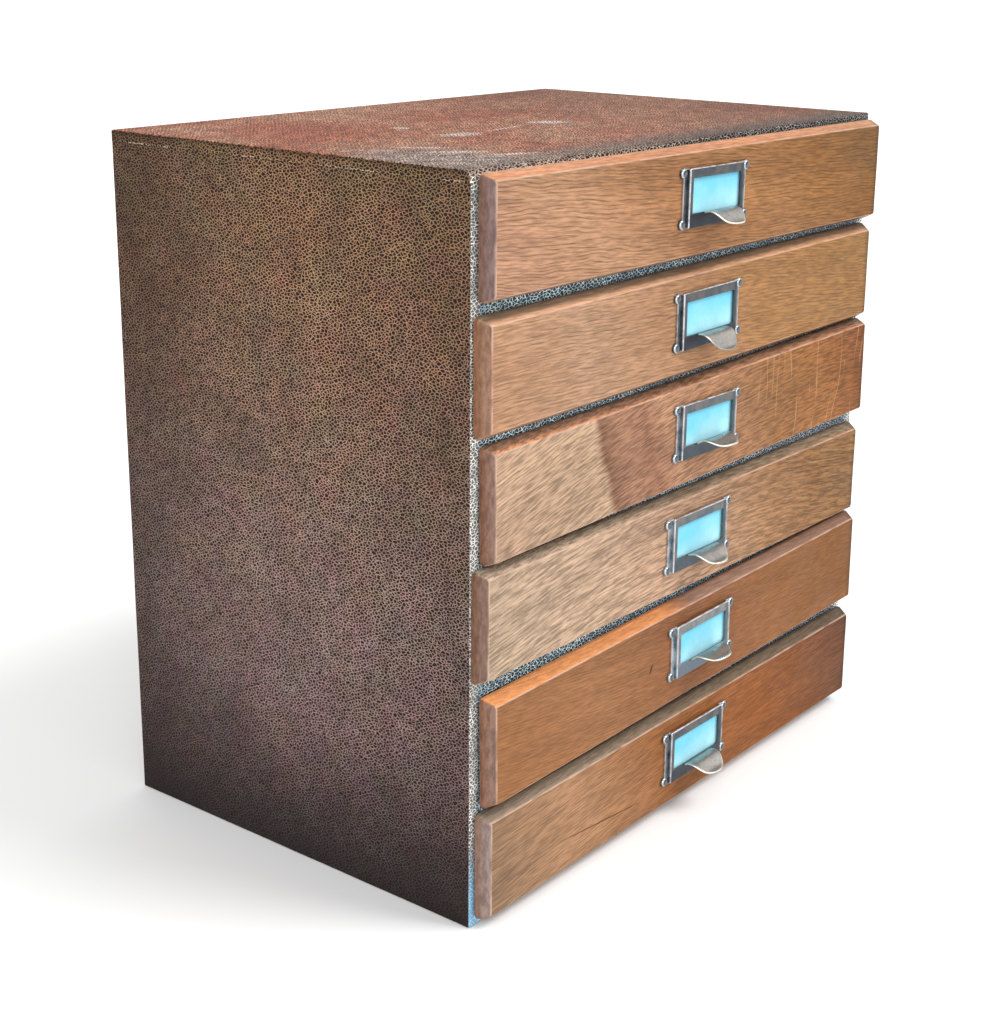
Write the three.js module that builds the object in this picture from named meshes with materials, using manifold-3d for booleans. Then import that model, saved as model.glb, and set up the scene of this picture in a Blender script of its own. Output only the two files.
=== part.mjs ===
// A vintage desktop cabinet with six shallow drawers: a thin wooden case covered in leathercloth,
// oak drawer fronts with steep bevels, and pressed card-holder pulls.
// Millimetres, +Z up. The origin is the centre of the case's underside, the drawers face -Y, and +X
// is to the right of a person who faces them. Inside the cabinet group, Y is measured backwards from
// the front edge of the case.

import * as THREE from 'three';
import { ConvexGeometry } from 'three/addons/geometries/ConvexGeometry.js';
import { mergeVertices } from 'three/addons/utils/BufferGeometryUtils.js';
import Module from 'manifold-3d';

const wasm = await Module();
wasm.setup();

// Case
const CASE = { width: 377, depth: 247, height: 380 };
const CLOTH = 0.7;           // leathercloth with its glue
const TURN_DOWN = 6;         // how far the top cloth is turned down over the edges
const TURN_DOWN_PROUD = 0.3; // how far the turned-down edge stands out from the cloth on the sides
const GLUE_GAP = 0.2;        // between pieces that are glued or nailed together
const SIDE_BOARD = 8.5;
const TOP_BOARD = 7;
const BOTTOM_BOARD = 8;
const DIVIDER = 9.5;
const BACK_PANEL = 3.5;
const BACK_RECESS = 1.2;     // from the back edges of the boards in to the back panel
const COVER_LIFT = 0.5;      // the cloth on the sides stops this far above the table
const WORN_EDGE = 3;         // off the top's front edge, at 45 degrees

// Drawer boxes
const DRAWER_COUNT = 6;
const SIDE_CLEARANCE = 1;    // between a drawer and the case at each side
const RUN_CLEARANCE = 0.4;   // under a drawer
const BACK_CLEARANCE = 0.8;  // behind a closed drawer
const BOX = { height: 46, side: 6, bottom: 3, bottomRise: 1.5 };

// Drawer fronts: a steep bevel runs round all four edges, with a narrow straight edge behind it
const FRONT = { thickness: 8.3, bevelDepth: 6.3, corner: 3, faceCorner: 1.6, cornerSteps: 4 };

// Card-holder pull: a flat flange with an ear at each corner, and a raised frame in its middle
const PULL = {
  flangeWidth: 60,
  flangeCorner: 1,
  height: 31,
  sheet: 0.8,
  earReach: 30.2,
  earRise: 13.1,
  earRadius: 2.8,
  earSides: 20,
  frameWidth: 53,
  frameDepth: 2.5,
  windowWidth: 46,
  windowHeight: 18.2,
  windowRise: 1.3,
  slotWidth: 50,
  slotDepth: 1.2,
};
const CARD = { width: 49, height: 27.4, thickness: 0.4, standOff: 0.3 };

// Thumb lip: out from the lower edge of the window in a shallow S. Each pair is [outward, upward].
const LIP_CURVE = [
  [-0.6, 0], [3, 0.4], [5.5, 0.2], [7.8, -1], [9.8, -2.8], [11.6, -4.6], [13.4, -5.6], [15, -5.8],
];
const LIP = { halfWidth: 13.5, straight: 4, root: 2, curveSteps: 14, outlineSteps: 16 };

// Each drawer's front and how it and its pull are fitted, from the top drawer down. The fronts were
// planed and planted by hand, so each has its own width, height and bevel and sits a little off its
// opening, and the lips have been bent by use. All are in mm but the tilts, which are in degrees with the
// right end up, and droop, which is how many degrees the lip is bent down. standOff is the gap between
// the front and the case. The columns of pullAt are the pull's shift, rise and tilt on its front.
const FITTING = [
  {
    size: [370.4, 59], bevel: 2.8, shift: -0.5, rise: 2.2, tilt: -0.3,
    standOff: 2.5, pullAt: [-2.1, 3.3, -0.4], droop: -4,
  },
  {
    size: [371, 58.4], bevel: 3.8, shift: -2.4, rise: 1.2, tilt: 0.15,
    standOff: 1.6, pullAt: [-0.2, 2, 0.1], droop: 8,
  },
  {
    size: [368.5, 59.2], bevel: 2.8, shift: 1.5, rise: 1.8, tilt: 0.65,
    standOff: 1.1, pullAt: [0, 2, -1.6], droop: -24,
  },
  {
    size: [371.2, 58.3], bevel: 3.4, shift: -1.9, rise: 1.1, tilt: -0.3,
    standOff: 0.5, pullAt: [-0.5, 2.3, -0.1], droop: -10,
  },
  {
    size: [367.5, 59.2], bevel: 3.5, shift: 0.5, rise: 0.6, tilt: 0.85,
    standOff: 2.4, pullAt: [1.6, 2.4, 0], droop: -30,
  },
  {
    size: [370.6, 58], bevel: 3.3, shift: -0.2, rise: -0.5, tilt: 0.15,
    standOff: 1.6, pullAt: [0.8, 2, -0.3], droop: -9,
  },
];

// Colours
const finish = (color, roughness, metalness = 0) => ({ color, roughness, metalness });
const SIDE_CLOTH = finish(0x4a382c, 0.55);
const TOP_CLOTH = finish(0x8c5a4a, 0.5);
const EDGE_CLOTH = finish(0x6d7678, 0.5);
const CASE_WOOD = finish(0x7a5a3c, 0.75);
const BOX_WOOD = finish(0xb58d5e, 0.7);
const PANEL = finish(0x5e4632, 0.8);
const METAL = finish(0x6f6f6a, 0.35, 0.9);
const CARD_STOCK = finish(0x96e6f5, 0.7);
const OAKS = [0xa5703f, 0xa4723f, 0x9a6a42, 0xa88058, 0x93603f, 0x8f5f3c].map((color) => finish(color, 0.45));

// Worked out from the dimensions above
const coverOuterX = CASE.width / 2 - TURN_DOWN_PROUD;
const boardOuterX = coverOuterX - CLOTH - GLUE_GAP;
const boardInnerX = boardOuterX - SIDE_BOARD;
const fittedX = boardInnerX - GLUE_GAP;
const boardFrontY = CLOTH + GLUE_GAP;
const boardBackY = CASE.depth - CLOTH - GLUE_GAP;
const boardTopZ = CASE.height - CLOTH - GLUE_GAP;
const ceilingZ = boardTopZ - TOP_BOARD;
const coverTopZ = CASE.height - TURN_DOWN;
const panelBackY = boardBackY - BACK_RECESS;
const panelFrontY = panelBackY - BACK_PANEL;
const slotHeight = (ceilingZ - BOTTOM_BOARD - (DRAWER_COUNT - 1) * DIVIDER) / DRAWER_COUNT;
const slotPitch = slotHeight + DIVIDER;
const boxInnerX = boardInnerX - SIDE_CLEARANCE - BOX.side;
const boxBackY = panelFrontY - BACK_CLEARANCE;

// Vertices closer than this are one vertex
const MERGE_DISTANCE = 1e-3;

// How far a cutting tool runs past what it cuts
const PAST = 1;

function addPiece(parent, name, geometry, look, position = [0, 0, 0]) {
  const mesh = new THREE.Mesh(geometry, new THREE.MeshStandardMaterial(look));
  mesh.name = name;
  mesh.position.set(...position);
  parent.add(mesh);
}

function addGroup(parent, position, tilt = 0) {
  const group = new THREE.Group();
  group.position.set(...position);
  group.rotation.y = THREE.MathUtils.degToRad(-tilt);
  parent.add(group);
  return group;
}

// A box between two corners
function block(low, high) {
  const size = high.map((value, axis) => value - low[axis]);
  const centre = high.map((value, axis) => (value + low[axis]) / 2);
  return new THREE.BoxGeometry(...size).translate(...centre);
}

function toSolid(geometry) {
  const bare = geometry.clone();
  bare.deleteAttribute('normal');
  bare.deleteAttribute('uv');
  const merged = mergeVertices(bare, MERGE_DISTANCE);
  return new wasm.Manifold(new wasm.Mesh({
    numProp: 3,
    vertProperties: new Float32Array(merged.attributes.position.array),
    triVerts: new Uint32Array(merged.index.array),
  }));
}

function toGeometry(solid) {
  const mesh = solid.getMesh();
  const geometry = new THREE.BufferGeometry();
  geometry.setAttribute('position', new THREE.BufferAttribute(mesh.vertProperties, mesh.numProp));
  geometry.setIndex(new THREE.BufferAttribute(mesh.triVerts, 1));
  geometry.computeVertexNormals();
  return geometry;
}

const join = (first, ...rest) => rest.reduce((solid, next) => solid.add(toSolid(next)), toSolid(first));
const cut = (solid, ...tools) => tools.reduce((left, tool) => left.subtract(toSolid(tool)), solid);

function roundedRectangle(width, height, radius) {
  const x = width / 2 - radius;
  const z = height / 2 - radius;
  const corners = [[x, -z], [x, z], [-x, z], [-x, -z]];
  const shape = new THREE.Shape();
  corners.forEach(([cornerX, cornerZ], index) => {
    const start = (index - 1) * Math.PI / 2;
    shape.absarc(cornerX, cornerZ, radius, start, start + Math.PI / 2);
  });
  return shape;
}

// ---- Case ----

function sideCover(side) {
  const topZ = coverTopZ - GLUE_GAP;
  const sheet = block([coverOuterX - CLOTH, 0, COVER_LIFT], [coverOuterX, CASE.depth, topZ]);
  const turnedOverEdge = (y) => block([boardInnerX, y, COVER_LIFT], [coverOuterX, y + CLOTH, topZ]);
  const rightCover = join(sheet, turnedOverEdge(0), turnedOverEdge(CASE.depth - CLOTH));
  return toGeometry(side > 0 ? rightCover : rightCover.mirror([1, 0, 0]));
}

// Takes the worn edge off a solid whose front and top meet here
function wearEdge(solid, frontY, topZ) {
  const plane = new THREE.BoxGeometry(CASE.width + PAST, 4 * WORN_EDGE, 4 * WORN_EDGE)
    .translate(0, 0, 2 * WORN_EDGE)
    .rotateX(Math.PI / 4)
    .translate(0, frontY, topZ - WORN_EDGE);
  return cut(solid, plane);
}

function topCover() {
  const outerX = CASE.width / 2;
  const insideX = coverOuterX - CLOTH;
  const insideBackY = CASE.depth - CLOTH;
  const insideTopZ = CASE.height - CLOTH;
  const cap = block([-outerX, 0, coverTopZ], [outerX, CASE.depth, CASE.height]);
  const inside = block([-insideX, CLOTH, coverTopZ - PAST], [insideX, insideBackY, insideTopZ]);
  const worn = wearEdge(toSolid(cap), 0, CASE.height);
  return toGeometry(worn.subtract(wearEdge(toSolid(inside), CLOTH, insideTopZ)));
}

function addCase(parent) {
  const wearBoard = (board) => toGeometry(wearEdge(toSolid(board), boardFrontY, boardTopZ));
  for (const [label, side] of [['left', -1], ['right', 1]]) {
    const board = block([-SIDE_BOARD / 2, boardFrontY, 0], [SIDE_BOARD / 2, boardBackY, boardTopZ]);
    const middleX = side * (boardInnerX + SIDE_BOARD / 2);
    addPiece(parent, `${label}_side`, wearBoard(board), CASE_WOOD, [middleX, 0, 0]);
    addPiece(parent, `${label}_cover`, sideCover(side), SIDE_CLOTH);
  }
  const between = (lowY, lowZ, highY, highZ) => block([-fittedX, lowY, lowZ], [fittedX, highY, highZ]);
  const back = between(panelFrontY, BOTTOM_BOARD + GLUE_GAP, panelBackY, ceilingZ - GLUE_GAP);
  const top = between(boardFrontY, ceilingZ, boardBackY, boardTopZ);
  addPiece(parent, 'top_board', wearBoard(top), CASE_WOOD);
  addPiece(parent, 'bottom_board', between(boardFrontY, 0, boardBackY, BOTTOM_BOARD), CASE_WOOD);
  addPiece(parent, 'back_panel', back, PANEL);
  addPiece(parent, 'top_cover', topCover(), TOP_CLOTH);
  for (let index = 1; index < DRAWER_COUNT; index += 1) {
    const lowZ = ceilingZ - index * slotPitch;
    const highZ = lowZ + DIVIDER;
    const divider = between(boardFrontY, lowZ, panelFrontY - GLUE_GAP, highZ);
    addPiece(parent, `divider_${index}`, divider, CASE_WOOD);
    addPiece(parent, `divider_${index}_facing`, between(0, lowZ, CLOTH, highZ), EDGE_CLOTH);
  }
}

// ---- Drawers ----

// Drawn about the middle of its back face, as are the pull and the card
function frontBoard([width, height], bevel) {
  const layer = (inset, radius, y) => roundedRectangle(width - 2 * inset, height - 2 * inset, radius)
    .getPoints(FRONT.cornerSteps)
    .map((point) => new THREE.Vector3(point.x, y, point.y));
  return new ConvexGeometry([
    ...layer(0, FRONT.corner, 0),
    ...layer(0, FRONT.corner, FRONT.bevelDepth - FRONT.thickness),
    ...layer(bevel, FRONT.faceCorner, -FRONT.thickness),
  ]);
}

// The lip's curve, bent down about its root
function bentLip(droop) {
  const root = new THREE.Vector2();
  const angle = THREE.MathUtils.degToRad(-droop);
  const points = LIP_CURVE.map((place) => new THREE.Vector2(...place).rotateAround(root, angle));
  return new THREE.SplineCurve(points).getSpacedPoints(LIP.curveSteps);
}

// The strip under the curve, as wide as the lip, cut to a tongue that is half an ellipse at its end
function thumbLip(droop) {
  const curve = bentLip(droop);
  const underside = curve.map((point) => new THREE.Vector2(point.x, point.y - PULL.sheet)).reverse();
  const sweepAcross = new THREE.Matrix4().makeBasis(
    new THREE.Vector3(0, -1, 0),
    new THREE.Vector3(0, 0, 1),
    new THREE.Vector3(-1, 0, 0),
  );
  const strip = new THREE.ExtrudeGeometry(new THREE.Shape([...curve, ...underside]), {
    depth: 2 * LIP.halfWidth,
    bevelEnabled: false,
  }).translate(0, 0, -LIP.halfWidth).applyMatrix4(sweepAcross);

  const reach = Math.max(...curve.map((point) => point.x));
  const outline = new THREE.Shape();
  outline.moveTo(-LIP.halfWidth, LIP.root);
  outline.lineTo(-LIP.halfWidth, -LIP.straight);
  outline.absellipse(0, -LIP.straight, LIP.halfWidth, reach - LIP.straight, Math.PI, 2 * Math.PI);
  outline.lineTo(LIP.halfWidth, LIP.root);
  const tongue = new THREE.ExtrudeGeometry(outline, {
    depth: 2 * PULL.height,
    bevelEnabled: false,
    curveSegments: LIP.outlineSteps,
  }).translate(0, 0, -PULL.height);
  return toSolid(strip).intersect(toSolid(tongue));
}

function pull(droop) {
  const outline = roundedRectangle(PULL.flangeWidth, PULL.height, PULL.flangeCorner);
  const flange = new THREE.ExtrudeGeometry(outline, { depth: PULL.sheet, bevelEnabled: false })
    .rotateX(Math.PI / 2);
  const corners = [[-1, -1], [1, -1], [1, 1], [-1, 1]];
  const ears = corners.map(([x, z]) => (
    new THREE.CylinderGeometry(PULL.earRadius, PULL.earRadius, PULL.sheet, PULL.earSides)
      .translate(x * PULL.earReach, -PULL.sheet / 2, z * PULL.earRise)
  ));
  const frameX = PULL.frameWidth / 2;
  const frameZ = PULL.height / 2;
  const insideX = frameX - PULL.sheet;
  const insideZ = frameZ - PULL.sheet;
  const windowX = PULL.windowWidth / 2;
  const windowLowZ = PULL.windowRise - PULL.windowHeight / 2;
  const windowHighZ = windowLowZ + PULL.windowHeight;
  const frame = block([-frameX, -PULL.frameDepth, -frameZ], [frameX, 0, frameZ]);
  const pocket = block([-insideX, PULL.sheet - PULL.frameDepth, -insideZ], [insideX, PAST, insideZ]);
  const opening = block([-windowX, -PULL.frameDepth - PAST, windowLowZ], [windowX, 0, windowHighZ]);
  const slotX = PULL.slotWidth / 2;
  const cardSlot = block([-slotX, -PULL.slotDepth, 0], [slotX, PAST, frameZ + PAST]);
  const lip = thumbLip(droop).translate([0, -PULL.frameDepth, windowLowZ]);
  return toGeometry(cut(join(flange, ...ears, frame), pocket, opening, cardSlot).add(lip));
}

function addDrawer(parent, index) {
  const fitting = FITTING[index];
  const name = `drawer_${index + 1}`;
  const floorZ = ceilingZ - index * slotPitch - slotHeight + RUN_CLEARANCE;
  const drawer = addGroup(parent, [0, -fitting.standOff, floorZ]);
  const backY = boxBackY + fitting.standOff;
  const bottomTop = BOX.bottomRise + BOX.bottom;
  const innerX = boxInnerX - GLUE_GAP;
  for (const [label, side] of [['left', -1], ['right', 1]]) {
    const board = block([-BOX.side / 2, GLUE_GAP, 0], [BOX.side / 2, backY, BOX.height]);
    addPiece(drawer, `${name}_${label}_side`, board, BOX_WOOD, [side * (boxInnerX + BOX.side / 2), 0, 0]);
  }
  const bottom = block([-innerX, GLUE_GAP, BOX.bottomRise], [innerX, backY, bottomTop]);
  const back = block([-innerX, backY - BOX.side, bottomTop + GLUE_GAP], [innerX, backY, BOX.height]);
  addPiece(drawer, `${name}_bottom`, bottom, BOX_WOOD);
  addPiece(drawer, `${name}_back`, back, BOX_WOOD);

  const faceZ = slotHeight / 2 - RUN_CLEARANCE + fitting.rise;
  const face = addGroup(drawer, [fitting.shift, 0, faceZ], fitting.tilt);
  addPiece(face, `${name}_front`, frontBoard(fitting.size, fitting.bevel), OAKS[index]);

  const [pullX, pullZ, pullTilt] = fitting.pullAt;
  const holder = addGroup(face, [pullX, -FRONT.thickness - GLUE_GAP, pullZ], pullTilt);
  const card = new THREE.BoxGeometry(CARD.width, CARD.thickness, CARD.height);
  addPiece(holder, `${name}_pull`, pull(fitting.droop), METAL);
  addPiece(holder, `${name}_card`, card, CARD_STOCK, [0, -CARD.standOff - CARD.thickness / 2, 0]);
}

const cabinet = new THREE.Group();
cabinet.position.y = -CASE.depth / 2;
addCase(cabinet);
for (let index = 0; index < DRAWER_COUNT; index += 1) {
  addDrawer(cabinet, index);
}

const group = new THREE.Group();
group.add(cabinet);

export default group;
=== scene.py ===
import math

import bmesh
import bpy
from mathutils import Matrix, Vector, noise


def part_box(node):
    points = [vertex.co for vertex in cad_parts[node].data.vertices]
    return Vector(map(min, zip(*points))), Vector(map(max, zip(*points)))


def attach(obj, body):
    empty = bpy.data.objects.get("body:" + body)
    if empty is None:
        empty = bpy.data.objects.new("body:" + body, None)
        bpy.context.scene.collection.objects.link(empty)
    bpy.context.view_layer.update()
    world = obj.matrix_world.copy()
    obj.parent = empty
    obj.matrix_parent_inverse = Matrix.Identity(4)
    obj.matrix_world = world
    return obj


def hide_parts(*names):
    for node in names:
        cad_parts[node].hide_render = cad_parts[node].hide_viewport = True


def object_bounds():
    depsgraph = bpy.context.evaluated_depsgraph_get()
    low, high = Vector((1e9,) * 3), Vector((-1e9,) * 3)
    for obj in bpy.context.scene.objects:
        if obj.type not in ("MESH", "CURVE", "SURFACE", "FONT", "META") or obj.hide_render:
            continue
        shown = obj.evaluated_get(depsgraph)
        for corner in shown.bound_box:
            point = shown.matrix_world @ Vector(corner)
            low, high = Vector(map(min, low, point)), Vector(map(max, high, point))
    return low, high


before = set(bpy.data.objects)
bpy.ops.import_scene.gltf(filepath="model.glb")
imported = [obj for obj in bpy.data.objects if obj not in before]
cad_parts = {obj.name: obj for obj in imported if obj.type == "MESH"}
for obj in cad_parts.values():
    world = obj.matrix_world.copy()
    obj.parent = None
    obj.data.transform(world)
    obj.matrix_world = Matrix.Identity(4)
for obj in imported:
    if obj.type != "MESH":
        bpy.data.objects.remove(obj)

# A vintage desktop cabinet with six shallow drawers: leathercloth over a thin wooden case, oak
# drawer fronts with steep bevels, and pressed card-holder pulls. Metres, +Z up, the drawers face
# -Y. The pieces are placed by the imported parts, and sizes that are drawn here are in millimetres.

CAD_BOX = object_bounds()
CASE_RIGHT = CAD_BOX[1][0]
CASE_TOP = CAD_BOX[1][2]
DRAWERS = range(1, 7)
MM = 0.001
UP = (0, 0, 1)
FORWARDS = (0, -1, 0)

# The camera: where it stands round the cabinet, and what it looks at
CAMERA = {
    "azimuth": -51.94,
    "elevation": 15.64,
    "roll": 0.64,
    "distance": 0.8553,
    "target": (-0.1503, -0.1235, 0.2496),
    "lens": 62.55,
    "shift": (-0.0196, -0.0753),
}

# The light: a white room, a large soft light at the front, above and to the right, and a weaker one
# from the left
ROOM_LIGHT = 0.92
LIGHTS = {
    "key": {"azimuth": 32, "elevation": 50, "strength": 1.7, "spread": 24},
    "fill": {"azimuth": -50, "elevation": 24, "strength": 1.3, "spread": 40},
}
FLOOR_SIZE = 60

# How much light falls on the front of the cabinet, on its left side and on a card. PLAIN_LIGHT is for
# colours that are given as the surface's own.
FRONT_LIGHT = 1.5
SIDE_LIGHT = 1.1
CARD_LIGHT = 1.35
PLAIN_LIGHT = 1

# Leathercloth: the pits of its grain are this far apart round the cabinet and up, and further apart
# where it faces the front
GRAIN_PITCH = (2.2 * MM, 1.55 * MM)
FRONT_PITCH = (2.5 * MM, 1.6 * MM)
GRAIN_LEAN = 34
CLOTH = 0.7 * MM
CLOTH_CORNER = 0.9 * MM
TOP_CORNER = 0.9 * MM
CLOTH_STEP = 9 * MM
GLUED_REACH = 60 * MM
WORN_EDGE = {"reach": 4.2 * MM, "drop": 3.0 * MM, "most": -0.17, "none": 0.06}

# Where colours change on the leathercloth, each from nothing to all: heights where the front edges
# turn blue, where painted shade darkens the turned-down edge of the top towards its arris, where its
# cut edge shows, and how far from the middle the front edges of the sides pass into shade
BLUE_FOOT = (50 * MM, 12 * MM)
ARRIS_SHADE = (CASE_TOP - 3.2 * MM, CASE_TOP - 0.8 * MM)
CUT_EDGE = (CASE_TOP - 5.0 * MM, CASE_TOP - 5.6 * MM)
SHADED = (183 * MM, 181 * MM)
RAIL_ENDS = (-0.18, 0.18)

# Drawer fronts, as in the CAD: the bevel leaves the straight edge 2 mm from the back
BEVEL = {"straight": 2.0 * MM, "corner": 3.0 * MM, "face_corner": 1.6 * MM}
ARRIS_RADIUS = 0.8 * MM
ARRIS_WOBBLE = 0.22 * MM
NOISE_SEED = 6  # of the wobble, which would differ from run to run without one
RING_PITCH = 1.8 * MM
HANDLED = (6 * MM, 1 * MM)  # how far from its right end a front is darkened by hands: from, and most

# Card-holder pulls, as in the CAD
SHEET = 0.8 * MM
PLATE = {"half_width": 30 * MM, "half_height": 15.5 * MM}
EAR = {"reach": 30.2 * MM, "rise": 13.1 * MM, "radius": 2.8 * MM}
HOLDER = {"half_width": 26.5 * MM, "depth": 2.5 * MM, "corner": 1.2 * MM, "fold": 0.9 * MM}
WINDOW = {"half_width": 23 * MM, "half_height": 9.1 * MM, "rise": 1.3 * MM, "corner": 0.6 * MM}
CARD_SLOT = {"half_width": 25 * MM, "depth": 1.2 * MM}
LIP_CURVE = [
    (-0.6, 0), (3, 0.4), (5.5, 0.2), (7.8, -1), (9.8, -2.8), (11.6, -4.6), (13.4, -5.6), (15, -5.8),
]
LIP = {"half_width": 13.5 * MM, "straight": 4 * MM, "sheet": 0.8 * MM}
LIP_REACH = LIP_CURVE[-1][0] * MM
LIP_DROOP = [-4, 8, -24, -10, -30, -9]  # degrees that each lip is bent down, from the top drawer
PULL_TONE = [1.0, 1.1, 1.5, 1.7, 2.4, 1.3]  # how bright the frame's face is worn, from the top drawer
PIN = [(2.5, 0), (2.45, 0.35), (2.1, 0.75), (1.4, 1.05), (0.6, 1.2)]  # outline of a pin's head, in mm

# Where the pull's colours change: rightwards, downwards to the bar in the painted shadow of the lip, and
# outwards twice
PULL_SHADES = {
    "right_bar": (22 * MM, 23.5 * MM),
    "shadowed_lower_bar": (-7 * MM, -9 * MM),
    "raised": (-1.2 * MM, -2.2 * MM),
    "lip": (-2.9 * MM, -4.2 * MM),
}


# ---- Colour and material nodes ----

def linear(value):
    value /= 255
    return value / 12.92 if value <= 0.04045 else ((value + 0.055) / 1.055) ** 2.4


def paint(red, green, blue, light=FRONT_LIGHT):
    """The surface colour that looks like this screen colour in the studio's light."""
    return tuple(linear(value) / light for value in (red, green, blue)) + (1,)


def plain(*colour):
    """A colour that isn't lit: the surface's own."""
    return paint(*colour, PLAIN_LIGHT)


def scaled(colour, factor):
    return tuple(factor * part for part in colour)


class Wire:
    """What comes out of a node. Wires add, multiply and compare as numbers and vectors do."""

    def __init__(self, look, socket):
        self.look = look
        self.socket = socket

    def __add__(self, other):
        return self.look.math("ADD", self, other)

    def __sub__(self, other):
        return self.look.math("SUBTRACT", self, other)

    def __rsub__(self, other):
        return self.look.math("SUBTRACT", other, self)

    def __mul__(self, other):
        return self.look.math("MULTIPLY", self, other)

    def __truediv__(self, other):
        return self.look.math("DIVIDE", self, other)

    def __gt__(self, other):
        return self.look.math("GREATER_THAN", self, other)

    def __abs__(self):
        return self.look.math("ABSOLUTE", self)

    def between(self, low, high, start=0.0, end=1.0):
        """Goes smoothly from start to end as this goes from low to high."""
        inputs = dict(enumerate((self, low, high, start, end)))
        return self.look.wire("MapRange", inputs, interpolation_type="SMOOTHSTEP")

    def ramp(self, stops, light=FRONT_LIGHT):
        """Goes through screen colours, each with its place from 0 to 1."""
        node = self.look.node("ValToRGB", {0: self})
        elements = node.color_ramp.elements
        while len(elements) < len(stops):
            elements.new(0.5)
        for element, (position, colour) in zip(elements, stops):
            element.position = position
            element.color = paint(*colour, light)
        return Wire(self.look, node.outputs["Color"])

    def sine(self):
        """The sine of this many turns."""
        return self.look.math("SINE", self * math.tau)

    def axes(self):
        return [Wire(self.look, socket) for socket in self.look.node("SeparateXYZ", {0: self}).outputs]

    def length(self):
        return self.look.math("LENGTH", self)

    def turned(self, degrees, axis="Y"):
        """This place, turned about an axis."""
        inputs = {"Vector": self, "Angle": math.radians(degrees)}
        return self.look.wire("VectorRotate", inputs, rotation_type=axis + "_AXIS")

    def noise(self, scale, detail=2.0, roughness=0.5, output="Fac"):
        inputs = {"Vector": self * scale, "Scale": 1, "Detail": detail, "Roughness": roughness}
        return self.look.wire("TexNoise", inputs, output)

    def warped(self, scale, reach):
        """This place, pushed about by smooth noise."""
        return self + (self.noise(scale, 1, output="Color") - 0.5) * reach

    def cell_edges(self):
        """How far inside its cell this place is, in a pattern of cells one unit apart."""
        inputs = {"Vector": self, "Scale": 1, "Randomness": 0.9}
        settings = {"feature": "DISTANCE_TO_EDGE", "voronoi_dimensions": "2D"}
        return self.look.wire("TexVoronoi", inputs, "Distance", **settings)


class Look:
    """A material, with a short call for each kind of node that is used below."""

    def __init__(self, name, **shader):
        self.material = bpy.data.materials.new(name)
        self.material.use_nodes = True
        self.tree = self.material.node_tree
        self.shader = self.tree.nodes["Principled BSDF"]
        self.place = self.wire("TexCoord", {}, "Object")
        self.x, self.y, self.z = self.place.axes()
        for name_of_input, value in shader.items():
            self.feed(self.shader.inputs[name_of_input.replace("_", " ")], value)

    def node(self, kind, inputs, **settings):
        """A new node. inputs says what goes into its inputs, by name or by number."""
        node = self.tree.nodes.new("ShaderNode" + kind)
        for setting, value in settings.items():
            setattr(node, setting, value)
        for key, value in inputs.items():
            self.feed(node.inputs[key], value)
        return node

    def wire(self, kind, inputs, output=0, **settings):
        return Wire(self, self.node(kind, inputs, **settings).outputs[output])

    def feed(self, socket, value):
        if isinstance(value, Wire):
            self.tree.links.new(value.socket, socket)
        else:
            socket.default_value = value

    def math(self, operation, *values):
        """Works on wires and plain numbers, as vectors if any of them is one."""
        if not any(is_vector(value) for value in values):
            return self.wire("Math", dict(enumerate(values)), operation=operation)
        output = "Value" if operation in ("LENGTH", "DOT_PRODUCT") else "Vector"
        inputs = dict(enumerate(spread(value) for value in values))
        return self.wire("VectorMath", inputs, output, operation=operation)

    def vector(self, *parts):
        return self.wire("CombineXYZ", dict(enumerate(parts)))

    def facing(self, direction):
        """1 where the surface faces this way, falling to 0 at right angles to it."""
        normal = self.wire("TexCoord", {}, "Normal")
        return self.math("MAXIMUM", self.math("DOT_PRODUCT", normal, direction), 0.0)

    def mix(self, factor, first, second):
        """The first colour where the factor is 0, and the second where it is 1."""
        return self.wire("Mix", {0: factor, 6: first, 7: second}, 2, data_type="RGBA")

    def join(self, colour, roughness, height, depth, strength=1.0):
        """Joins the colour, the roughness and a relief of this depth to the shader."""
        bump = self.wire("Bump", {"Strength": strength, "Distance": depth, "Height": height})
        self.feed(self.shader.inputs["Base Color"], colour)
        self.feed(self.shader.inputs["Roughness"], roughness)
        self.feed(self.shader.inputs["Normal"], bump)
        return self.material


def is_vector(value):
    return value.socket.type != "VALUE" if isinstance(value, Wire) else isinstance(value, tuple)


def spread(value):
    """A number becomes a vector, and a colour loses its fourth part."""
    if isinstance(value, Wire):
        return value
    return value[:3] if isinstance(value, tuple) else (value, value, value)


# ---- Leathercloth ----

SIDE_PIT = paint(34, 20, 15, SIDE_LIGHT)
TOP_PIT = paint(70, 30, 24)


def unfolded(look):
    """The place on the cloth before it was folded: round the cabinet and up, or across the top."""
    inwards = abs(look.x) - CASE_RIGHT
    around = look.y + inwards * look.y.between(-0.1, 0.1, 1.0, -1.0)
    sides = look.vector(around, look.z, 0.0)
    return look.mix(look.facing(UP) > 0.7, sides, look.place)


def leather_grain(look):
    """1 on the raised network of the embossed grain, and 0 in its small winding pits."""
    front = look.facing(FORWARDS) > 0.7
    pitch = look.mix(front, (*GRAIN_PITCH, 1, 1), (*FRONT_PITCH, 1, 1))
    cells = (unfolded(look) / pitch).turned(GRAIN_LEAN, "Z")
    edges = cells.warped(0.8, 0.9).cell_edges()
    worn = cells.noise(0.3, 2).between(0.3, 0.7, 0.0, 0.05)
    return edges.between(worn, worn + (0.2 - front * 0.06), 1.0, 0.0)


def leathercloth(look, ridge, pit, roughness):
    """Embossed leathercloth, from the colours of its ridges and its pits."""
    grain = leather_grain(look)
    blotch = look.place.noise(30, 6, 0.75).between(0.25, 0.75, 0.72, 1.3)
    gloss = grain.between(0, 1, roughness + 0.2, roughness)
    return look.join(look.mix(grain, pit, ridge * blotch), gloss, grain, 0.2 * MM, 0.7)


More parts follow.
